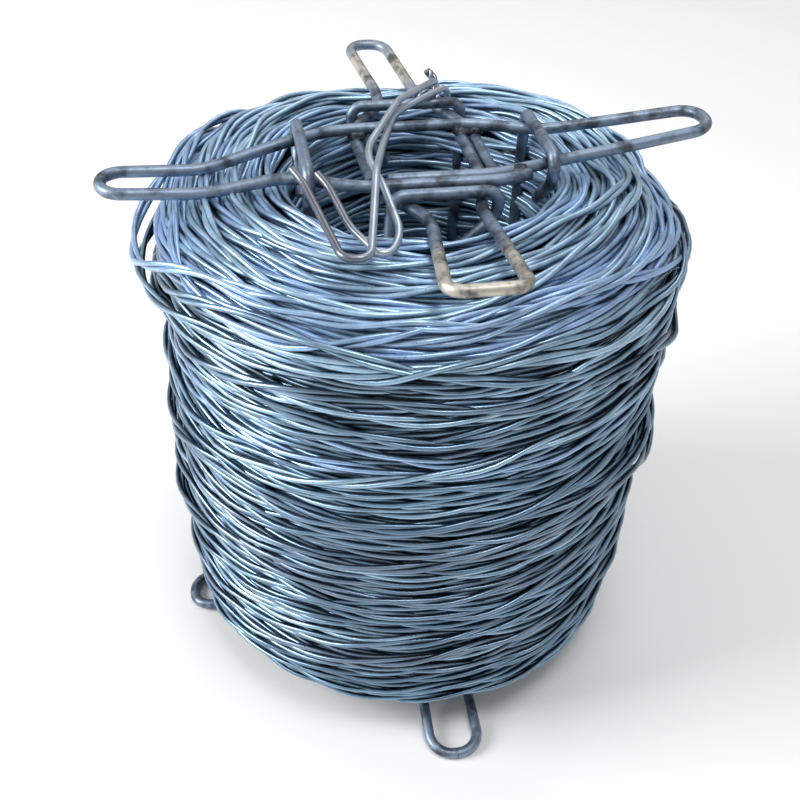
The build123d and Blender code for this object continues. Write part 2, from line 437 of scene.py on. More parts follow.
@dataclass
class RollSection:
    """Outline of the wound roll in section, from the bore's middle over the top and back under the foot."""

    radius: float
    foot_radius: float
    bore: float
    foot_z: float
    top_z: float
    top_shoulder: tuple[float, float] = (38.7, 19.0)
    foot_shoulder: tuple[float, float] = (27.5, 12.0)
    top_lip: tuple[float, float] = (3.0, 6.0)
    foot_lip: tuple[float, float] = (3.2, 5.0)
    bands: tuple[int, int, int] = (3, 7, 2)
    band_depth: float = 0.9
    arc_points: int = 40
    cell: float = 0.5
    places: np.ndarray = field(init=False)
    outline: np.ndarray = field(init=False)
    normals: np.ndarray = field(init=False)
    relief: np.ndarray = field(init=False)
    wall_span: tuple[float, float] = field(init=False)
    end_spans: tuple[float, float] = field(init=False)

    def __post_init__(self) -> None:
        """Trace the outline and spread its points evenly."""
        middle = (self.foot_z + self.top_z) / 2
        quarter = np.linspace(0, math.pi / 2, self.arc_points)
        rise, run = np.sin(quarter), 1 - np.cos(quarter)
        top = self.radius - self.top_shoulder[0]
        foot = self.foot_radius - self.foot_shoulder[0]
        arcs = [
            np.array([[self.bore, middle]]),
            np.c_[self.bore + self.top_lip[0] * run, self.top_z - self.top_lip[1] * (1 - rise)],
            np.c_[top + self.top_shoulder[0] * rise, self.top_z - self.top_shoulder[1] * run],
            np.c_[foot + self.foot_shoulder[0] * rise, self.foot_z + self.foot_shoulder[1] * run][::-1],
            np.c_[self.bore + self.foot_lip[0] * run, self.foot_z + self.foot_lip[1] * (1 - rise)][::-1],
            np.array([[self.bore, middle]]),
        ]
        trace = np.concatenate(arcs)
        lengths = np.r_[0, np.cumsum(np.hypot(*np.diff(trace, axis=0).T))]
        marks = np.cumsum([len(arc) for arc in arcs])
        self.places = np.arange(0, lengths[-1], self.cell)
        self.outline = np.c_[[np.interp(self.places, lengths, column) for column in trace.T]].T
        slopes = np.gradient(self.outline, self.cell, axis=0)
        slopes /= np.linalg.norm(slopes, axis=1)[:, None]
        self.normals = np.c_[-slopes[:, 1], slopes[:, 0]]
        self.wall_span = (lengths[marks[2] - 1], lengths[marks[2]])
        edges = (lengths[marks[1]], *self.wall_span, lengths[marks[3] - 1])
        waves = np.interp(self.places, edges, np.cumsum((0, *self.bands)))
        self.relief = -self.band_depth / 2 * (1 - np.cos(TURN * waves))
        self.end_spans = (lengths[marks[0]], lengths[marks[4] - 1])

    def at(self, places: np.ndarray, heights: np.ndarray) -> tuple[np.ndarray, np.ndarray, np.ndarray]:
        """Find points over the outline.

        Args:
            places: Lengths along the outline.
            heights: Heights over it.

        Returns:
            Points, normals and slopes as rows of radius and height.
        """
        base = np.c_[[np.interp(places, self.places, column) for column in self.outline.T]].T
        normal = np.c_[[np.interp(places, self.places, column) for column in self.normals.T]].T
        return base + normal * heights[:, None], normal, np.c_[normal[:, 1], -normal[:, 0]]

    def region(self, place: float) -> Region:
        """Name the region of a place along the outline.

        Args:
            place: Length along the outline.

        Returns:
            The region whose piece takes a turn there.
        """
        wall_start, wall_end = self.wall_span
        if place < self.end_spans[0] or place > self.end_spans[1]:
            return Region.BORE
        if place < wall_start:
            return Region.TOP
        if place > wall_end:
            return Region.FOOT
        thirds = (Region.WALL_UPPER, Region.WALL_MIDDLE, Region.WALL_LOWER)
        return thirds[min(2, int(3 * (place - wall_start) / (wall_end - wall_start)))]


def eased(places: np.ndarray, span: tuple[float, float, float, float]) -> np.ndarray:
    """Rise softly from 0 to 1 and fall back.

    Args:
        places: Lengths along the outline.
        span: Where the rise starts and ends, and where the fall starts and ends.

    Returns:
        Share for each place.
    """
    shares = np.interp(places, span, (0, 1, 1, 0))
    return shares**2 * (3 - 2 * shares)


@dataclass
class WireTurn:
    """One turn of the twisted pair: its way round the roll and its height over the outline."""

    places: np.ndarray
    heights: np.ndarray
    phase: float
    tone: float


@dataclass(frozen=True)
class LooseTurn:
    """A slack turn that stands off the roll and hangs down at one side."""

    below_shoulder: float
    angle_deg: float
    width_deg: float
    proud: float
    dip: float

    def swell(self, count: int) -> np.ndarray:
        """Shape the slack round the roll.

        Args:
            count: How many angles there are.

        Returns:
            Share of the slack for each angle.
        """
        away = (np.arange(count) * 360 / count - self.angle_deg + 180) % 360 - 180
        return np.exp(-((away / self.width_deg) ** 2))


@dataclass
class WindingBed:
    """Height of what has been wound so far, over the angle and the place along the outline."""

    section: RollSection
    depth: float
    bore_depth: float
    deepen_run: float = 22.0
    end_margin: float = 3.0
    angle_count: int = 720
    # How far a sliding turn looks to each side, and how much of the difference it moves, at most.
    slide_look: float = 1.0
    slide_share: float = 0.6
    slide_most: float = 1.0
    # Smoothing of a laid turn, as a share of the steps that it takes to come down.
    settle_share: float = 0.55
    # Width in radii, and height, within which a turn counts as open to view.
    view_width: float = 1.8
    view_slack: float = 0.3
    base: np.ndarray = field(init=False)
    heights: np.ndarray = field(init=False)

    def __post_init__(self) -> None:
        """Start from the bare core."""
        places = self.section.places
        start, end = self.section.end_spans
        from_start = np.clip((places - start) / self.deepen_run, 0, 1)
        from_end = np.clip((end - places) / self.deepen_run, 0, 1)
        inside = np.minimum(from_start, from_end)
        self.base = -self.bore_depth - (self.depth - self.bore_depth) * inside
        self.heights = np.tile(self.base, (self.angle_count, 1))

    def rises(self, radius: float) -> list[tuple[int, float]]:
        """List the cells across a wire's width, with its rise over each.

        Args:
            radius: The wire's radius.

        Returns:
            Steps of a cell from the wire's middle, each with the wire's height over its middle there.
        """
        cell = self.section.cell
        half = int(radius / cell)
        return [(off, math.sqrt(radius**2 - (off * cell) ** 2)) for off in range(-half, half + 1)]

    def cells(self, places: np.ndarray, off: int) -> tuple[np.ndarray, np.ndarray]:
        """Find the bed's cells beside a wire's way."""
        columns = np.rint(places / self.section.cell).astype(int) + off
        return np.arange(self.angle_count), np.clip(columns, 0, self.heights.shape[1] - 1)

    def clip(self, places: np.ndarray) -> np.ndarray:
        """Keep a turn's way off the seam of the outline."""
        return np.clip(places, self.end_margin, self.section.places[-1] - self.end_margin)

    def need(self, places: np.ndarray, radius: float) -> np.ndarray:
        """Find how high a turn must lie to clear what is there.

        Args:
            places: Its way along the outline, for each angle.
            radius: Its radius.

        Returns:
            Height for each angle.
        """
        tops = [self.heights[self.cells(places, off)] + rise for off, rise in self.rises(radius)]
        return np.max(tops, axis=0)

    def blur(self, row: np.ndarray, reach: float) -> np.ndarray:
        """Smooth a row of values round the roll.

        Args:
            row: A value for each angle.
            reach: Angle steps over which it is smoothed.

        Returns:
            The smoothed row.
        """
        forward = np.arange(self.angle_count)
        steps = np.minimum(forward, self.angle_count - forward)
        bell = np.exp(-0.5 * (steps / reach) ** 2)
        return np.fft.irfft(np.fft.rfft(row) * np.fft.rfft(bell / bell.sum()), self.angle_count)

    def slide(self, places: np.ndarray, radius: float, reach: float, rounds: int) -> np.ndarray:
        """Let a turn slide down into the hollows beside its way.

        Args:
            places: Its way along the outline, for each angle.
            radius: Its radius.
            reach: Angle steps over which it bends.
            rounds: How often it moves.

        Returns:
            The way it comes to rest on.
        """
        for _ in range(rounds):
            pull = self.need(places - self.slide_look, radius) - self.need(places + self.slide_look, radius)
            step = np.clip(self.slide_share * pull, -self.slide_most, self.slide_most)
            places = self.blur(places + step, reach)
        return self.clip(places)

    def lay(self, places: np.ndarray, radius: float, reach: int, proud: np.ndarray) -> np.ndarray:
        """Lay a turn over what is there.

        Args:
            places: Its way along the outline, for each angle.
            radius: Its radius.
            reach: How many angle steps it takes to come down from what it crosses.
            proud: How far it stands off, for each angle.

        Returns:
            Height of its centre, for each angle.
        """
        need = self.need(places, radius)
        held = np.max([np.roll(need, shift) for shift in range(-reach, reach + 1)], axis=0)
        held = self.blur(held, self.settle_share * reach) + proud
        for off, rise in self.rises(radius):
            cells = self.cells(places, off)
            self.heights[cells] = np.maximum(self.heights[cells], held + rise)
        return held

    def open_to_view(self, turn: WireTurn, radius: float, margin: int) -> np.ndarray:
        """Find where a turn isn't buried under later ones.

        Args:
            turn: The turn.
            radius: Its radius.
            margin: Angle steps kept beyond each open stretch.

        Returns:
            Truth for each angle.
        """
        clear = np.zeros(self.angle_count, bool)
        for off, rise in self.rises(self.view_width * radius):
            top = turn.heights + min(rise, radius) + self.view_slack
            clear |= self.heights[self.cells(turn.places, off)] <= top
        return np.max([np.roll(clear, shift) for shift in range(-margin, margin + 1)], axis=0)


@dataclass
class WireRoll:
    """The wound roll: turns of a twisted pair laid one over another round a core painted near-black as shade.
    """

    section: RollSection
    finish: MetalFinish
    end_finish: MetalFinish
    shade: PlainFinish
    # The wire: its strand, the share of it that a pair takes up, its twist and its kinks.
    strand_dia: float = 1.95
    packing: float = 0.62
    lay_length: float = 62.0
    kink: float = 0.20
    kink_orders: tuple[int, int] = (5, 15)
    kink_count: int = 4
    # The bed, the even lining over it and the second lining of the bore, in pitches of the first.
    bed_depth: float = 6.2
    bore_depth: float = 3.6
    seam_margin: float = 4.0
    lining_pitch: float = 2.9
    lining_wave: float = 0.5
    bore_pitch: float = 1.3
    # Turns that are laid where they pile up least, until the roll's mean height is full.
    wave: float = 2.1
    wave_share: float = 1.2
    wave_orders: int = 6
    choices: int = 8
    overlap: float = 2.0
    pile_height: float = 3.0
    full_height: float = -1.3
    full_margin: float = 16.0
    slide_rounds: int = 10
    slide_steps: float = 14.0
    settle_steps: int = 12
    proud_height: float = 1.2
    proud_share: float = 0.55
    # Turns that cross the others.
    crossing_count: int = 18
    crossing_wave: float = 4.2
    crossing_orders: int = 3
    crossing_margin: float = 20.0
    # Which stretches of a turn are made, and how finely. The first two are angle steps.
    open_margin: int = 14
    shortest: int = 24
    ring_share: float = 0.92
    fewest_points: int = 4
    strand_step: float = 5.0
    hidden_step: float = 6.5
    hidden_reach: float = 2.0
    wire_sides: int = 8
    hidden_sides: int = 6
    # How far the side of a wire that is painted lightest leans up; the side turned away from it takes painted
    # shade.
    lean_up: float = 0.5
    # Swell of the top between the frame's arms, and the foot's drawing in.
    heave: float = 2.5
    heave_bias: float = 0.45
    heave_deg: float = 60.0
    heave_span: tuple[float, float, float, float] = (-30.0, 0.0, 42.0, 72.0)
    arm_deg: float = 18.0
    arm_spacing_deg: float = 90.0
    tuck: float = 2.2
    tuck_span: tuple[float, float, float, float] = (-25.0, 5.0, 34.0, 50.0)
    # The core, which takes every so many places of the outline.
    core_stride: int = 8
    core_steps: int = 72
    merge_gap: float = 0.01
    loose: tuple[LooseTurn, ...] = ()
    tone_spans_with_painted_light: dict[Region, tuple[float, float]] = field(default_factory=dict)
    seed: int = 7
    turns: list[WireTurn] = field(init=False, default_factory=list)
    bed: WindingBed = field(init=False)
    random: np.random.Generator = field(init=False)

    def __post_init__(self) -> None:
        """Prepare the bed."""
        self.bed = WindingBed(self.section, self.bed_depth, self.bore_depth)
        self.random = np.random.default_rng(self.seed)

    @property
    def laid_radius(self) -> float:
        """Radius that a twisted pair takes up among others."""
        return self.packing * self.strand_dia

    def way(self, place: float, size: float, orders: int) -> np.ndarray:
        """Make a turn's wavy way round the roll.

        Args:
            place: Its mean place along the outline.
            size: Size of its slowest wave.
            orders: How many waves add up.

        Returns:
            Place for each angle.
        """
        angles = np.linspace(0, TURN, self.bed.angle_count, endpoint=False)
        way = np.full(len(angles), place)
        for order in range(1, orders + 1):
            wave = size * (self.wave_share - order / self.wave_orders) * self.random.normal()
            way += wave * np.cos(order * angles + self.random.uniform(0, TURN))
        return self.bed.clip(way)

    def steps(self, way: np.ndarray, steps: float) -> float:
        """Count the angle steps that span the same length of wire on a way as on the wall."""
        return steps * self.section.radius / self.section.at(way, np.zeros(len(way)))[0][:, 0].mean()

    def settled(self, place: float) -> np.ndarray:
        """Make a turn's way and let it slide into the hollows.

        Args:
            place: Its mean place along the outline.

        Returns:
            Place for each angle.
        """
        way = self.way(place, self.wave, self.wave_orders)
        return self.bed.slide(way, self.laid_radius, self.steps(way, self.slide_steps), self.slide_rounds)

    def pile(self, way: np.ndarray) -> float:
        """Weigh how high a turn would pile up along a way."""
        return float(np.exp(self.bed.need(way, self.laid_radius) / self.pile_height).mean())

    def lay(self, way: np.ndarray, proud: float | np.ndarray = 0.0) -> None:
        """Lay a turn along a way.

        Args:
            way: Place along the outline for each angle.
            proud: How far it stands off what is under it.
        """
        reach = round(self.steps(way, self.settle_steps))
        heights = self.bed.lay(way, self.laid_radius, reach, proud * np.ones(len(way)))
        heights -= (1 - self.proud_share) * np.maximum(heights - proud - self.proud_height, 0)
        self.turns.append(WireTurn(way, heights, self.random.uniform(0, TURN), self.random.uniform()))

    def wind(self) -> None:
        """Lay the linings, then turns where they pile up least until the roll is full, then crossing ones."""
        start, end = self.section.end_spans
        length = self.section.places[-1]
        for place in np.arange(self.seam_margin, length - self.seam_margin, self.lining_pitch):
            self.lay(self.way(place, self.lining_wave, self.wave_orders))
        inside = np.arange(end - length, start, self.bore_pitch * self.lining_pitch) % length
        for place in self.random.permutation(inside):
            self.lay(self.settled(place))
        margin, cell = self.full_margin, self.section.cell
        outside = slice(int((start + margin) / cell), int((end - margin) / cell))
        while self.bed.heights[:, outside].mean() < self.full_height:
            places = self.random.uniform(start - self.overlap, end + self.overlap, self.choices)
            ways = [self.settled(place) for place in places]
            self.lay(min(ways, key=self.pile))
        first, last = start + self.crossing_margin, end - self.crossing_margin
        for place in self.random.permutation(np.linspace(first, last, self.crossing_count)):
            self.lay(self.way(place, self.crossing_wave, self.crossing_orders))
        for slack in self.loose:
            swell = slack.swell(self.bed.angle_count)
            way = self.settled(self.section.wall_span[0] + slack.below_shoulder)
            self.lay(way + slack.dip * swell, slack.proud * swell)

    def stretches(self, turn: WireTurn) -> list[tuple[int, int, bool]]:
        """Find where a turn is open to view.

        Args:
            turn: The turn.

        Returns:
            First and last angle step of each open stretch, and whether it is a whole ring.
        """
        shown = self.bed.open_to_view(turn, self.laid_radius, self.open_margin)
        if shown.mean() > self.ring_share:
            return [(0, len(shown), True)]
        first = int(np.argmin(shown))
        turned = np.r_[False, np.roll(shown, -first), False].astype(int)
        edges = np.flatnonzero(np.diff(turned))
        spans = [(begin, end) for begin, end in zip(edges[::2], edges[1::2]) if end - begin > self.shortest]
        return [(first + begin, first + end, False) for begin, end in spans]

    def strands(self, turn: WireTurn) -> list[tuple[np.ndarray, np.ndarray, bool]]:
        """Twist a turn's two strands wherever it is open to view.

        Args:
            turn: The turn.

        Returns:
            Points and the way of the painted light of each stretch of strand, and whether it is a whole ring.
        """
        count = self.bed.angle_count
        mean_radius = float(self.section.at(turn.places, turn.heights)[0][:, 0].mean())
        lays = max(1, round(TURN * mean_radius / self.lay_length))
        orders = self.random.integers(*self.kink_orders, self.kink_count)
        kinks = [(order, self.random.uniform(0, TURN)) for order in orders]
        hidden = mean_radius < self.section.bore + self.hidden_reach
        step = self.hidden_step if hidden else self.strand_step
        twice_round = np.arange(2 * count)
        pieces = []
        for begin, end, closed in self.stretches(turn):
            span = (end - begin) / count * TURN * mean_radius
            steps = np.linspace(begin, end, max(self.fewest_points, round(span / step)), endpoint=not closed)
            places = np.interp(steps, twice_round, np.tile(turn.places, 2))
            heights = np.interp(steps, twice_round, np.tile(turn.heights, 2))
            angles = steps / count * TURN
            places += self.kink * sum(np.cos(order * angles + phase) for order, phase in kinks)
            heights += np.interp(places, self.section.places, self.section.relief)
            heights += self.swell(places, angles)
            points, normals, slopes = self.section.at(places, heights)
            # Way of the painted light on each wire: out from the roll, leant up.
            leant = normals + (0, self.lean_up)
            leant /= np.linalg.norm(leant, axis=1)[:, None]
            facings = np.c_[leant[:, 0] * np.cos(angles), leant[:, 0] * np.sin(angles), leant[:, 1]]
            for side in (0, math.pi):
                twist = lays * angles + turn.phase + side
                offset = np.cos(twist)[:, None] * slopes + np.sin(twist)[:, None] * normals
                spots = points + offset * self.strand_dia / 2
                xyz = np.c_[spots[:, 0] * np.cos(angles), spots[:, 0] * np.sin(angles), spots[:, 1]]
                pieces.append((xyz, facings, closed))
        return pieces

    def swell(self, places: np.ndarray, angles: np.ndarray) -> np.ndarray:
        """Find how far the top swells up between the frame's four arms, and the foot draws in.

        Args:
            places: Lengths along the outline.
            angles: Angles round the roll.

        Returns:
            Height for each point.
        """
        spacing = self.arm_spacing_deg
        from_arm = np.abs((np.degrees(angles) + spacing / 2) % spacing - spacing / 2)
        uneven = 1 + self.heave_bias * np.cos(angles - math.radians(self.heave_deg))
        uneven *= 1 - np.exp(-((from_arm / self.arm_deg) ** 2))
        rise = eased(places - self.section.end_spans[0], self.heave_span)
        fall = eased(places - self.section.wall_span[1], self.tuck_span)
        return self.heave * uneven * rise - self.tuck * fall

    def core_mesh(self) -> bpy.types.Mesh:
        """Turn the core, painted near-black as the shade that closes the view between the turns.

        Returns:
            Mesh of the core.
        """
        shell = bmesh.new()
        places, heights = self.section.places[:: self.core_stride], self.bed.base[:: self.core_stride]
        rows = self.section.at(places, heights)[0]
        verts = [shell.verts.new((radius * MM, 0, height * MM)) for radius, height in rows]
        edges = [shell.edges.new(pair) for pair in zip(verts, verts[1:] + verts[:1])]
        bmesh.ops.spin(
            shell,
            geom=verts + edges,
            cent=(0, 0, 0),
            axis=(0, 0, 1),
            angle=TURN,
            steps=self.core_steps,
            use_merge=True,
        )
        bmesh.ops.remove_doubles(shell, verts=shell.verts, dist=self.merge_gap * MM)
        bmesh.ops.recalc_face_normals(shell, faces=shell.faces)
        mesh = bpy.data.meshes.new("wire_core")
        shell.to_mesh(mesh)
        shell.free()
        return mesh

    def build(self) -> None:
        """Wind the roll and make its pieces."""
        self.wind()
        skeins = {}
        for region in Region:
            sides = self.hidden_sides if region in (Region.BORE, Region.FOOT) else self.wire_sides
            skeins[region] = WireSkein(region.value, self.strand_dia, sides)
        for turn in self.turns:
            region = self.section.region(float(turn.places.mean()))
            skein = skeins[region]
            # Painted light: the region's span sets how light and blue its wires are painted; the turn's own
            # tone is random within it.
            low, high = self.tone_spans_with_painted_light[region]
            tone = low + (high - low) * turn.tone
            for points, facings, closed in self.strands(turn):
                skein.add_strand(points, closed, tone, facings)
        wall, end = self.finish.material(), self.end_finish.material()
        for region, skein in skeins.items():
            # The bore and the top take the finish with the lighter painted shade.
            material = end if region in (Region.BORE, Region.TOP) else wall
            add_piece(region.value, skein.mesh(), material, Slot.WIRE)
        core = add_piece("wire_core", self.core_mesh(), self.shade.material(), Slot.WIRE)
        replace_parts(core, "wire_roll")
        LOG.info("turns laid: %d", len(self.turns))


@dataclass
class CarrierSizes:
    """Lengths and levels of the carrier frame in millimetres, as the part has them."""

    roll_radius: float
    bore: float
    roll_top: float
    rod_dia: float = 4.1
    strand_dia: float = 2.51
    seat_gap: float = 0.3
    floor_gap: float = 0.6
    leg_gap: float = 0.6
    ear_half_width: float = 8.0

    @property
    def rod_pitch(self) -> float:
        """Distance between the middles of two rods that rest on one another."""
        return self.rod_dia + self.seat_gap

    @property
    def strand_pitch(self) -> float:
        """Distance between the middles of two strands that rest on one another."""
        return self.strand_dia + self.seat_gap

    @property
    def leg_radius(self) -> float:
        """Distance from the axis at which the legs stand."""
        return self.bore - self.leg_gap - self.rod_dia / 2

    @property
    def low_long(self) -> float:
        """Level of the bottom long loop."""
        return self.rod_dia / 2 + self.floor_gap + self.rod_pitch

    @property
    def low_cross(self) -> float:
        """Level of the bottom cross loop."""
        return self.low_long + self.rod_pitch

    @property
    def top_cross(self) -> float:
        """Level of the top cross loop."""
        return self.roll_top + self.seat_gap + self.rod_dia / 2

    @property
    def top_long(self) -> float:
        """Level of the top long loop."""
        return self.top_cross + self.rod_pitch

    @property
    def tail_rest(self) -> float:
        """Level of a strand that rests on the top long loop."""
        return self.top_long + (self.rod_dia + self.strand_dia) / 2 + self.seat_gap

    def outward(self, along: float) -> float:
        """Find the signed distance from the axis of a place along a loop.

        Args:
            along: Place, 1 at the bore's wall and 2 at the roll's.

        Returns:
            Distance in millimetres.
        """
        within = min(abs(along), 1) * self.bore
        beyond = max(abs(along) - 1, 0) * (self.roll_radius - self.bore)
        return math.copysign(within + beyond, along)

    def waist(self, shares: Rows, level: float, lap: float = 0) -> list[Point]:
        """Place a loop's middle.

        Args:
            shares: Rows of along and across.
            level: Its level.
            lap: How far it moves outward to lie beside another strand.

        Returns:
            Corners of the route.
        """
        places = []
        for along, across in shares:
            beside = across * self.bore + math.copysign(lap, across)
            places.append((self.outward(along), beside, level))
        return places

    def ear(self, shares: Rows, level: float, lift: float) -> list[Point]:
        """Place a loop's ear.

        Args:
            shares: Rows of along, across and lift.
            level: The loop's level.
            lift: Unit of the lift.

        Returns:
            Corners of the route.
        """
        places = []
        for along, across, rise in shares:
            places.append((self.outward(along), across * self.ear_half_width, level + rise * lift))
        return places


def strand_across(route: list[Point], along: float, side: int) -> float:
    """Find a loop's outermost strand at a place along it.

    Args:
        route: The loop's corners as along, across and level.
        along: The place.
        side: 1 or -1 for the side of the loop.

    Returns:
        Its place across.
    """
    found = 0.0
    for (start, start_across, _), (end, end_across, _) in zip(route, route[1:]):
        if min(start, end) <= along <= max(start, end) and start != end:
            across = start_across + (along - start) / (end - start) * (end_across - start_across)
            found = max(found, side * across)
    return side * found


def crosswise(places: list[Point]) -> list[Point]:
    """Turn along, across and level of a cross loop into points, along Y."""
    return [(across, along, level) for along, across, level in places]


@dataclass
class CarrierFrame:
    """Bent rods that hold the roll: two loops at each end, tied by four legs down the bore."""

    sizes: CarrierSizes
    finish: MetalFinish
    # Corners of the long loops: along, 1 at the bore's wall and 2 at the roll's, across and, on an ear, lift.
    lapped: Rows = ((0.68, -0.33), (0.47, -0.40), (-0.51, -0.40))
    long_back: Rows = ((-0.95, 0.25), (-0.57, 0.42), (0.47, 0.42), (0.95, 0.25))
    long_return: Rows = ((0.95, -0.25), (0.47, -0.40), (-0.30, -0.40))
    long_neck: Rows = ((-0.95, -0.27),)
    top_left: Rows = (
        (-1.58, -1.08, -1.65),
        (-2.36, -0.97, -1.3),
        (-2.36, 0.97, -1.3),
        (-1.58, 1.08, -1.65),
    )
    top_right: Rows = ((2.22, 1.02, 1.7), (2.22, -1.02, 1.7))
    low_left: Rows = ((-2.06, -0.97, -1), (-2.06, 0.97, -1))
    low_right: Rows = ((2.10, 1.02, -1), (2.10, -1.02, -1))
    # Corners of the cross loops, in the same way.
    cross_start: Rows = ((0.38, 0.39), (-0.27, 0.39), (-0.71, 0.28))
    cross_left: Rows = ((-0.76, -0.08), (-0.42, -0.38), (0.57, -0.41), (1.11, -0.09))
    cross_right: Rows = ((1.26, 0.20),)
    cross_lapped: Rows = ((0.53, 0.39), (-0.34, 0.39))
    top_front: Rows = ((-1.99, 1.71, 1.6), (-1.99, -1.29, 1.6))
    top_back: Rows = ((2.20, -1.41, 1.1), (2.20, 0.46, 1.1))
    low_front: Rows = ((-2.16, 1.71, -1), (-2.16, -0.69, -1))
    low_back: Rows = ((2.10, -0.90, -1), (2.10, 1.02, -1))
    # How far the right, left, back and front legs stand beside their strands, in pitches, and their hooks.
    beside: tuple[float, float, float, float] = (1.12, 1.18, 1.15, 1.40)
    front_bar: float = -0.64
    lean_deg: float = 24.0
    lean_depth: float = 0.57
    hook_reach: float = 1.25
    hook_tail: tuple[float, float] = (0.17, 0.27)
    wall_rounds: int = 12
    # Bends and waver of the rods.
    long_bend: float = 7.8
    back_bend: float = 7.2
    front_bend: float = 5.0
    foot_bend: float = 8.8
    slight_bend: float = 40.0
    straight_run: float = 22.0
    wobble: float = 0.55
    sides: int = 14
    bend_steps: int = 8
    # Where the painted warm highlight, in cream, starts and fades along Y.
    highlight_from: float = 57.0
    highlight_run: float = 14.0
    highlight_fade_from: float = 86.0
    highlight_fade_run: float = 7.0
    highlight_fade_share: float = 0.8

    def long_loop(self, left: Rows, right: Rows, level: float, lift: float) -> list[Point]:
        """Route a long loop.

        Args:
            left: Shares of its left ear.
            right: Shares of its right ear.
            level: Its level.
            lift: Unit of the ears' lift.

        Returns:
            Corners of the route.
        """
        sizes = self.sizes
        return (
            sizes.waist(self.lapped, level, sizes.rod_pitch + sizes.seat_gap)
            + sizes.waist(self.long_neck, level)
            + sizes.ear(left, level, lift)
            + sizes.waist(self.long_back, level)
            + sizes.ear(right, level, lift)
            + sizes.waist(self.long_return, level)
        )

    def cross_loop(self, front: Rows, back: Rows, level: float, lift: float) -> list[Point]:
        """Route a cross loop, with along for Y.

        Args:
            front: Shares of its front ear.
            back: Shares of its back ear.
            level: Its level.
            lift: Unit of the ears' lift.

        Returns:
            Corners of the route.
        """
        sizes = self.sizes
        return (
            sizes.waist(self.cross_start, level)
            + sizes.ear(front, level, lift)
            + sizes.waist(self.cross_left, level)
            + sizes.ear(back, level, lift)
            + sizes.waist(self.cross_right, level)
            + sizes.waist(self.cross_lapped, level, sizes.rod_pitch + sizes.seat_gap)
        )

    def hook(
        self, route: list[Point], along: float, start: float, side: int, level: float, up: int
    ) -> list[Point]:
        """Route a leg's hook over a loop.

        Args:
            route: The loop's corners.
            along: Place of the hook along the loop.
            start: Where the leg stands across the loop.
            side: 1 or -1 for the leg's side of the loop.
            level: The loop's level.
            up: 1 at the top, -1 at the foot.

        Returns:
            Corners from the hook's tail to the leg.
        """
        pitch = self.sizes.rod_pitch
        strand = strand_across(route, along, -side)
        far = strand - side * pitch * self.hook_reach
        tail_in, tail_down = (share * self.sizes.bore for share in self.hook_tail)
        return [
            (along, strand + side * tail_in, level - up * (pitch + tail_down)),
            (along, far, level - up * pitch),
            (along, far, level + up * pitch),
            (along, start, level + up * pitch),
        ]

    def leg(
        self,
        route: list[Point],
        along: float,
        side: int,
        beside: float,
        levels: tuple[float, float],
        lean: list[Point],
    ) -> list[Point]:
        """Route a leg with its hook at each end.

        Args:
            route: The top loop's corners.
            along: Place of the leg along the loop.
            side: 1 or -1 for its side of the loop.
            beside: How far it stands beside the strand, in rod pitches.
            levels: Levels of the top and the bottom loop.
            lean: Corners between its hooks.

        Returns:
            Corners of the route.
        """
        start = strand_across(route, along, side) + side * self.sizes.rod_pitch * beside
        top = self.hook(route, along, start, side, levels[0], 1)
        return top + lean + self.hook(route, along, start, side, levels[1], -1)[::-1]

    def wall_along(self, route: list[Point], end: int, side: int, beside: float) -> float:
        """Find where a leg beside a loop's strand stands against the bore's wall.

        Args:
            route: The loop's corners.
            end: 1 or -1 for the end of the loop.
            side: 1 or -1 for the leg's side of it.
            beside: How far the leg stands beside the strand, in rod pitches.

        Returns:
            Place along the loop.
        """
        along = end * self.sizes.leg_radius
        for _ in range(self.wall_rounds):
            across = strand_across(route, along, side) + side * self.sizes.rod_pitch * beside
            along = end * math.sqrt(self.sizes.leg_radius**2 - across**2)
        return along

    def routes(self) -> dict[str, list[Point]]:
        """Route every rod.

        Returns:
            Corners by the name of the node that each rod shows.
        """
        sizes = self.sizes
        floor = sizes.rod_dia / 2
        top_long = self.long_loop(self.top_left, self.top_right, sizes.top_long, sizes.rod_dia)
        low_long = self.long_loop(self.low_left, self.low_right, sizes.low_long, sizes.low_long - floor)
        top_cross = self.cross_loop(self.top_front, self.top_back, sizes.top_cross, sizes.rod_dia)
        low_cross = self.cross_loop(self.low_front, self.low_back, sizes.low_cross, sizes.low_cross - floor)
        long_levels, cross_levels = (sizes.top_long, sizes.low_long), (sizes.top_cross, sizes.low_cross)
        right, left, back, front = self.beside
        angle, depth = math.radians(self.lean_deg), self.lean_depth * sizes.bore
        foot = (-sizes.leg_radius * math.cos(angle), -sizes.leg_radius * math.sin(angle))
        lean = [(*foot, sizes.top_cross - depth), (*foot, sizes.low_cross + depth)]
        right_at = self.wall_along(top_long, 1, 1, right)
        left_at = self.wall_along(top_long, -1, -1, left)
        back_at = self.wall_along(top_cross, 1, 1, back)
        front_at = sizes.outward(self.front_bar)
        return {
            "top_long_loop": top_long,
            "bottom_long_loop": low_long,
            "top_cross_loop": crosswise(top_cross),
            "bottom_cross_loop": crosswise(low_cross),
            "right_leg": self.leg(top_long, right_at, 1, right, long_levels, []),
            "left_leg": self.leg(top_long, left_at, -1, left, long_levels, []),
            "back_leg": crosswise(self.leg(top_cross, back_at, 1, back, cross_levels, [])),
            "front_leg": crosswise(self.leg(top_cross, front_at, -1, front, cross_levels, lean)),
        }

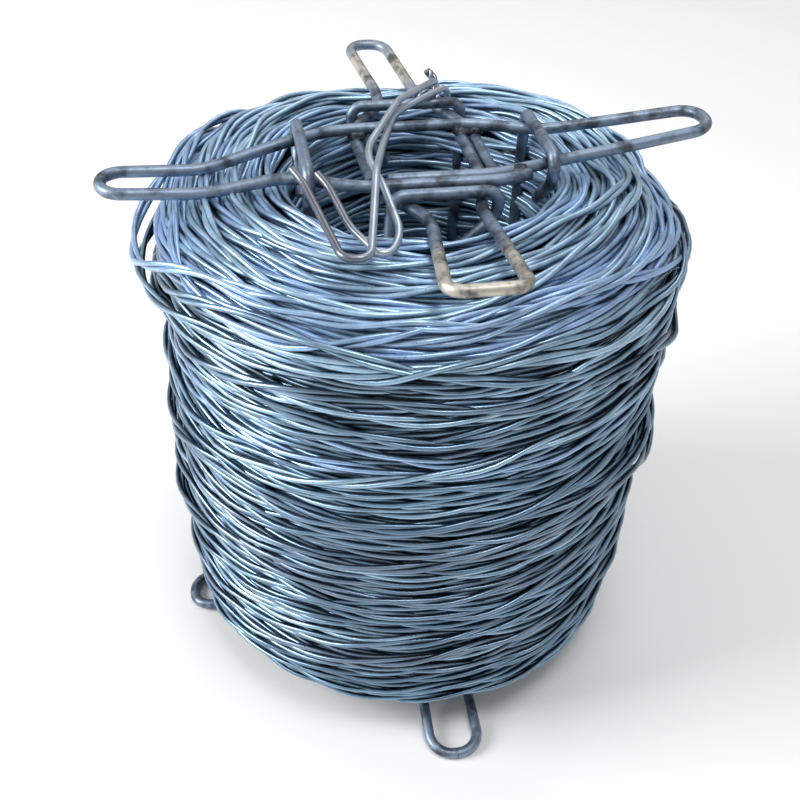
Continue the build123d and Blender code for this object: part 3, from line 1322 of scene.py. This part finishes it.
    def build(self) -> None:
        """Bend every rod round and smooth."""
        material = self.finish.material()
        bends = {"long_loop": lambda corner: self.long_bend, "cross_loop": self.cross_bend}
        for name, route in self.routes().items():
            skein = WireSkein(name + "_rod", self.sizes.rod_dia, self.sides, self.bend_steps, capped=True)
            bend = bends.get(name.partition("_")[2], lambda corner: self.sizes.rod_pitch)
            skein.add_bent(by_hand(route, self.straight_run, self.wobble), bend, self.slight_bend)
            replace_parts(add_piece(name + "_rod", skein.mesh(self.painted_highlight), material, Slot.ROD), name)

    def cross_bend(self, corner: Vector) -> float:
        """Tell how round a cross loop's bend is: tight on the top front ear alone.

        Args:
            corner: Corner of the route in millimetres.

        Returns:
            Radius of its bend.
        """
        if corner.z < self.sizes.bore:
            return self.foot_bend
        return self.back_bend if corner.y > 0 else self.front_bend

    def painted_highlight(self, spots: np.ndarray) -> np.ndarray:
        """Tell how much painted warm highlight, in cream, the rods take: along the arms of the top cross
        loop's ears, less at the back tip.

        Args:
            spots: Places in millimetres.

        Returns:
            Tone for each place.
        """
        away, high = spots[:, 1], spots[:, 2] > self.sizes.bore
        arms = np.clip((np.abs(away) - self.highlight_from) / self.highlight_run, 0, 1)
        tip = np.clip((away - self.highlight_fade_from) / self.highlight_fade_run, 0, 1)
        return high * arms * (1 - self.highlight_fade_share * tip)


@dataclass
class WireEnd:
    """The wire's end: its two strands laid apart and hooked round the top cross loop."""

    sizes: CarrierSizes
    finish: MetalFinish
    cross_route: list[Point]
    hooks: tuple[float, float] = (0.95, 1.10)
    # Corners of both strands: x and y in radii of the bore, and lift in strand pitches.
    outer: Rows = (
        (-0.11, 0.48, 0.06),
        (-0.28, -0.06, 0.4),
        (-0.41, -0.57, 1.5),
        (-0.57, -1.38, -1.4),
        (-0.74, -1.36, -1.4),
        (-0.89, -0.63, 0.9),
        (-0.95, -0.50, 1.5),
    )
    inner: Rows = (
        (-0.06, 0.54, 1.5),
        (-0.43, -0.19, 0.6),
        (-0.37, -0.64, 0.06),
        (-0.33, -1.10, -1.6),
        (-0.47, -1.34, -2.3),
        (-0.64, -1.00, -1.4),
        (-0.73, -0.63, 0.3),
        (-0.79, -0.52, 1.0),
    )
    sharp_bend: float = 4.5
    slight_bend: float = 30.0
    straight_run: float = 14.0
    wobble: float = 0.5
    sides: int = 12
    bend_steps: int = 8
    # Where the painted highlight fades, towards the strands' free ends on the left, in radii of the bore.
    painted_dim_from: float = -0.66
    painted_dim_run: float = 0.16

    def route(self, hook: float, shares: Rows) -> list[Point]:
        """Route one strand from its hook.

        Args:
            hook: Place of the hook along the cross loop.
            shares: Rows of x, y and lift.

        Returns:
            Corners of the route.
        """
        sizes = self.sizes
        along = sizes.outward(hook)
        clear = (sizes.rod_dia + sizes.strand_dia) / 2 + 2 * sizes.seat_gap
        side = strand_across(self.cross_route, along, 1) + clear
        places = [(side, along, sizes.top_cross), (side, along, sizes.tail_rest)]
        for x, y, lift in shares:
            places.append((x * sizes.bore, y * sizes.bore, sizes.tail_rest + lift * sizes.strand_pitch))
        return places

    def build(self) -> None:
        """Bend both strands."""
        material = self.finish.material()
        strands = {"tail_strand_outer": self.outer, "tail_strand_inner": self.inner}
        for (name, shares), hook in zip(strands.items(), self.hooks):
            skein = WireSkein(name + "_wire", self.sizes.strand_dia, self.sides, self.bend_steps, capped=True)
            route = by_hand(self.route(hook, shares), self.straight_run, self.wobble)
            skein.add_bent(route, lambda corner: self.sharp_bend, self.slight_bend)
            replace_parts(add_piece(name + "_wire", skein.mesh(self.painted_brightness), material, Slot.TAIL), name)

    def painted_brightness(self, spots: np.ndarray) -> np.ndarray:
        """Tell how brightly the strands are painted: a bluish painted highlight, dimmer towards their free
        ends on the left.
        """
        return np.clip((spots[:, 0] / self.sizes.bore - self.painted_dim_from) / self.painted_dim_run, 0, 1)


@dataclass
class FrameJoints:
    """What holds the frame together: weld beads where rods cross, and fine wire wrapped round a rod."""

    sizes: CarrierSizes
    weld: MetalFinish
    wire: MetalFinish
    # Beads: x and y in radii of the bore, and lift in rod pitches.
    crossings: Rows = (
        (-0.395, 0.42, 0.0),
        (0.39, 0.42, 0.0),
        (0.49, 0.42, 0.0),
        (-0.385, -0.40, 0.0),
        (0.39, -0.40, 0.0),
        (0.62, -0.375, 0.42),
    )
    bead: tuple[float, float] = (3.6, 2.8)
    lump_pitch: float = 1.6
    lump_depth: float = 0.55
    # Wraps: size and pace of their waver, and last points as beside, along and up from the last turn.
    wrap_dia: float = 1.7
    wrap_turns: float = 5.0
    wrap_points: int = 14
    wrap_gap: float = 0.1
    wrap_waver: tuple[float, float] = (0.5, 2.3)
    wrap_from: Point = (14.6, 47.5, 0.0)
    wrap_to: Point = (9.6, 59.0, 0.0)
    wrap_end: Rows = ((3.0, 2.0, 0.0), (6.0, 2.0, 1.5))
    # Stub of twisted ends, from the loop's level.
    stub: Rows = ((15.6, 47.0, 2.0), (15.2, 49.6, 6.0), (14.4, 51.6, 9.0), (12.8, 52.6, 11.4))
    stub_points: int = 24
    stub_twist: float = 1.8
    stub_spread: float = 0.58
    sides: int = 10
    tone: float = 0.3

    def beads(self) -> bpy.types.Mesh:
        """Lump a weld bead at each crossing of the loops.

        Returns:
            Mesh of all beads.
        """
        sizes = self.sizes
        lumps = bmesh.new()
        top, foot = (sizes.top_cross + sizes.top_long) / 2, (sizes.low_cross + sizes.low_long) / 2
        for level, up in ((top, 1), (foot, -1)):
            for x, y, lift in self.crossings:
                spot = Vector((x * sizes.bore, y * sizes.bore, level + up * lift * sizes.rod_pitch))
                place = Matrix.Translation(spot * MM)
                size = Matrix.Diagonal((self.bead[0], self.bead[0], self.bead[1], 1 / MM)) * MM
                made = bmesh.ops.create_icosphere(lumps, subdivisions=2, radius=1.0, matrix=place @ size)
                for vert in made["verts"]:
                    vert.co += noise.noise_vector(vert.co / (self.lump_pitch * MM)) * self.lump_depth * MM
        mesh = bpy.data.meshes.new("weld_beads")
        lumps.to_mesh(mesh)
        lumps.free()
        return mesh

    def wraps(self) -> bpy.types.Mesh:
        """Wrap fine wire round the top cross loop, with its ends twisted to a stub.

        Returns:
            Mesh of the wraps and the stub.
        """
        level = UP * self.sizes.top_cross
        start, end = self.wrap_from + level, self.wrap_to + level
        along = (end - start) / np.linalg.norm(end - start)
        beside = np.cross(along, UP)
        shares = np.linspace(0, 1, round(self.wrap_turns * self.wrap_points))[:, None]
        turns = shares * self.wrap_turns * TURN
        waver, waves = self.wrap_waver
        radius = (self.sizes.rod_dia + self.wrap_dia) / 2 + self.wrap_gap + waver * np.sin(waves * turns) ** 2
        points = start + (end - start) * shares + radius * (beside * np.cos(turns) + UP * np.sin(turns))
        ends = points[-1] + np.array(self.wrap_end) @ np.array((beside, along, UP))
        skein = WireSkein("tie_wraps", self.wrap_dia, self.sides, capped=True)
        skein.add_strand(np.r_[points, ends], False, self.tone)
        rows = self.stub + level
        spread = np.linspace(0, len(rows) - 1, self.stub_points)
        stem = np.c_[[np.interp(spread, range(len(rows)), column) for column in rows.T]].T
        for side in (0, TURN / 3, 2 * TURN / 3):
            twist = spread[:, None] * self.stub_twist + side
            offset = beside * np.cos(twist) + along * np.sin(twist)
            skein.add_strand(stem + self.stub_spread * self.wrap_dia * offset, False, self.tone)
        return skein.mesh()

    def build(self) -> None:
        """Make the beads and the wraps."""
        add_piece("weld_beads", self.beads(), self.weld.material(), Slot.ROD)
        add_piece("tie_wraps", self.wraps(), self.wire.material(), Slot.TAIL)


@dataclass(frozen=True)
class Lamp:
    """A square soft lamp that faces the part's origin, in metres and watts."""

    name: str
    place: Point
    size: float
    power: float

    def hang(self) -> None:
        """Hang the lamp."""
        light = bpy.data.lights.new(self.name, "AREA")
        light.size, light.energy = self.size, self.power
        holder = bpy.data.objects.new(self.name, light)
        aim = Vector(self.place).to_track_quat("Z", "Y").to_matrix().to_4x4()
        holder.matrix_world = Matrix.Translation(self.place) @ aim
        bpy.context.scene.collection.objects.link(holder)


@dataclass
class Studio:
    """Floor, lamps, world and camera; the camera's distances are in radii of the roll."""

    roll_radius: float
    roll_foot: float
    lamps: tuple[Lamp, ...]
    floor_finish: PlainFinish
    floor_reach: float = 6.0
    world_light: float = 0.45
    turn_deg: float = -11.5
    pitch_deg: float = 38.5
    roll_rad: float = 0.037
    focal_px: float = 1070.0
    image_px: int = 800
    sensor_mm: float = 36.0
    nearest: float = 0.01
    distance: float = 4.66
    aim_height: float = 1.05
    aim_shift: tuple[float, float] = (0.0445, 0.0725)

    def build(self) -> None:
        """Set up everything around the part."""
        self.lay_floor()
        for lamp in self.lamps:
            lamp.hang()
        self.light_world()
        self.set_camera()
        bpy.context.scene.view_settings.view_transform = "Standard"

    def lay_floor(self) -> None:
        """Lay the plain floor."""
        sheet = bmesh.new()
        bmesh.ops.create_grid(sheet, x_segments=1, y_segments=1, size=self.floor_reach)
        mesh = bpy.data.meshes.new("studio_floor")
        sheet.to_mesh(mesh)
        sheet.free()
        mesh.materials.append(self.floor_finish.material())
        floor = bpy.data.objects.new("studio_floor", mesh)
        bpy.context.scene.collection.objects.link(floor)

    def light_world(self) -> None:
        """Give the world an even white light."""
        world = bpy.data.worlds.new("studio_world")
        world.use_nodes = True
        sky = world.node_tree.nodes["Background"]
        sky.inputs["Color"].default_value = (1, 1, 1, 1)
        sky.inputs["Strength"].default_value = self.world_light
        bpy.context.scene.world = world

    def set_camera(self) -> None:
        """Set the camera where the photo was taken from."""
        pitch, turn = math.radians(self.pitch_deg), Matrix.Rotation(math.radians(self.turn_deg), 3, "Z")
        forward = Vector((0, math.cos(pitch), -math.sin(pitch)))
        level, rise = Vector((1, 0, 0)), Vector((0, math.sin(pitch), math.cos(pitch)))
        cosine, sine = math.cos(self.roll_rad), math.sin(self.roll_rad)
        right, up = cosine * level + sine * rise, cosine * rise - sine * level
        eye = Vector((0, 0, self.aim_height)) - self.distance * forward
        eye -= self.aim_shift[0] * right + self.aim_shift[1] * up
        place = turn @ eye * self.roll_radius + Vector((0, 0, self.roll_foot))
        axes = Matrix((turn @ right, turn @ up, turn @ -forward)).transposed()
        lens = bpy.data.cameras.new("photo_camera")
        lens.sensor_width = self.sensor_mm
        lens.lens = self.focal_px * lens.sensor_width / self.image_px
        lens.clip_start = self.nearest
        holder = bpy.data.objects.new("photo_camera", lens)
        holder.matrix_world = Matrix.Translation(place) @ axes.to_4x4()
        bpy.context.scene.collection.objects.link(holder)
        bpy.context.scene.camera = holder


# Sizes of the roll in millimetres that its box doesn't give.
BORE_RADIUS = 48.0
FOOT_TAPER = 2.5

WIRE = MetalFinish(
    name="galvanised_wire",
    # The upper tones, lighter and bluer, carry the painted light from above that the top and the bore take.
    tones=(
        (0.14, 0.24, 0.35),
        (0.22, 0.30, 0.41),
        (0.22, 0.37, 0.52),
        (0.40, 0.59, 0.76),
        (0.38, 0.57, 0.90),
    ),
    patch=(0.12, 0.19, 0.27),
    patch_scale=70.0,
    patch_spread=0.5,
    # Near-black blue painted shade on the side of each wire turned down and in, between the others, and the
    # span over which it gives way.
    painted_shade=(0.003, 0.020, 0.046),
    painted_light_span=(-0.1, 1.0),
    bump=0.03,
)
# The bore and the top take a lighter painted shade, which paints more light there, and less metal shine.
END_WIRE = replace(
    WIRE, name="galvanised_wire_end", painted_shade=(0.02, 0.05, 0.10), painted_light_span=(-0.8, 0.7), metallic=0.6
)
ROD = MetalFinish(
    name="carrier_rod",
    # Blue-grey rod tones; the cream one is a painted warm highlight on the top ears' arms.
    tones=((0.24, 0.31, 0.41), (0.36, 0.39, 0.43), (0.58, 0.55, 0.48)),
    patch=(0.035, 0.042, 0.055),
    patch_scale=120.0,
    patch_spread=0.85,
    painted_shade=(0.02, 0.03, 0.04),
    rough_span=(0.36, 0.64),
    bump=0.16,
)
TAIL = MetalFinish(
    name="tail_wire",
    # From a dim grey to a lighter bluish tone, which is a painted highlight.
    tones=((0.17, 0.18, 0.21), (0.52, 0.60, 0.70)),
    patch=(0.22, 0.24, 0.28),
    patch_scale=60.0,
    patch_spread=0.45,
    painted_shade=(0.03, 0.04, 0.05),
    rough_span=(0.24, 0.44),
)
WELD = MetalFinish(
    name="weld_scale",
    tones=((0.035, 0.042, 0.055), (0.06, 0.07, 0.09)),
    patch=(0.22, 0.25, 0.29),
    patch_scale=420.0,
    patch_spread=0.7,
    painted_shade=(0.02, 0.02, 0.03),
    rough_span=(0.50, 0.80),
    metallic=0.6,
    coat=0.0,
    bump=0.4,
)
CORE_SHADE = PlainFinish("core_shade", (0.004, 0.010, 0.018))
FLOOR_WHITE = PlainFinish("floor_white", (0.92, 0.92, 0.92), roughness=1.0)

# Where each region's wires lie on the row of tones: within a span the tone differs at random, and the upper
# wall, the top and the bore sit higher, on lighter and bluer tones, as painted light from above.
TONE_SPANS_WITH_PAINTED_LIGHT = {
    Region.BORE: (0.6, 1.0),
    Region.TOP: (0.68, 1.0),
    Region.WALL_UPPER: (0.1, 0.95),
    Region.WALL_MIDDLE: (0.0, 0.75),
    Region.WALL_LOWER: (0.05, 0.8),
    Region.FOOT: (0.05, 0.8),
}
LOOSE_TURNS = (
    LooseTurn(below_shoulder=-12.0, angle_deg=188.0, width_deg=20.0, proud=6.0, dip=10.0),
    LooseTurn(below_shoulder=0.0, angle_deg=181.0, width_deg=22.0, proud=5.0, dip=6.0),
    LooseTurn(below_shoulder=18.0, angle_deg=-24.0, width_deg=18.0, proud=3.0, dip=9.0),
    LooseTurn(below_shoulder=72.0, angle_deg=-25.0, width_deg=16.0, proud=4.0, dip=14.0),
    LooseTurn(below_shoulder=66.0, angle_deg=182.0, width_deg=16.0, proud=1.6, dip=7.0),
    LooseTurn(below_shoulder=102.0, angle_deg=182.0, width_deg=16.0, proud=1.6, dip=7.0),
)
LAMPS = (
    Lamp("key", place=(-1.4, 0.0, 0.9), size=0.8, power=24.0),
    Lamp("back", place=(0.3, 0.8, 1.4), size=0.8, power=4.0),
    Lamp("front", place=(0.1, -0.45, 1.7), size=0.55, power=9.0),
)


def main() -> None:
    """Build the part's looks and its studio."""
    logging.basicConfig(level=logging.INFO, format="%(message)s")
    noise.seed_set(NOISE_SEED)
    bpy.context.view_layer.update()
    low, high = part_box("wire_roll")
    section = RollSection(
        radius=high.x / MM,
        foot_radius=high.x / MM - FOOT_TAPER,
        bore=BORE_RADIUS,
        foot_z=low.z / MM,
        top_z=high.z / MM,
    )
    WireRoll(section, WIRE, END_WIRE, CORE_SHADE, loose=LOOSE_TURNS, tone_spans_with_painted_light=TONE_SPANS_WITH_PAINTED_LIGHT).build()
    carrier_sizes = CarrierSizes(section.radius, section.bore, section.top_z)
    carrier = CarrierFrame(carrier_sizes, ROD)
    carrier.build()
    WireEnd(carrier_sizes, TAIL, crosswise(carrier.routes()["top_cross_loop"])).build()
    FrameJoints(carrier_sizes, WELD, TAIL).build()
    Studio(roll_radius=high.x, roll_foot=low.z, lamps=LAMPS, floor_finish=FLOOR_WHITE).build()


if __name__ == "__main__":
    main()
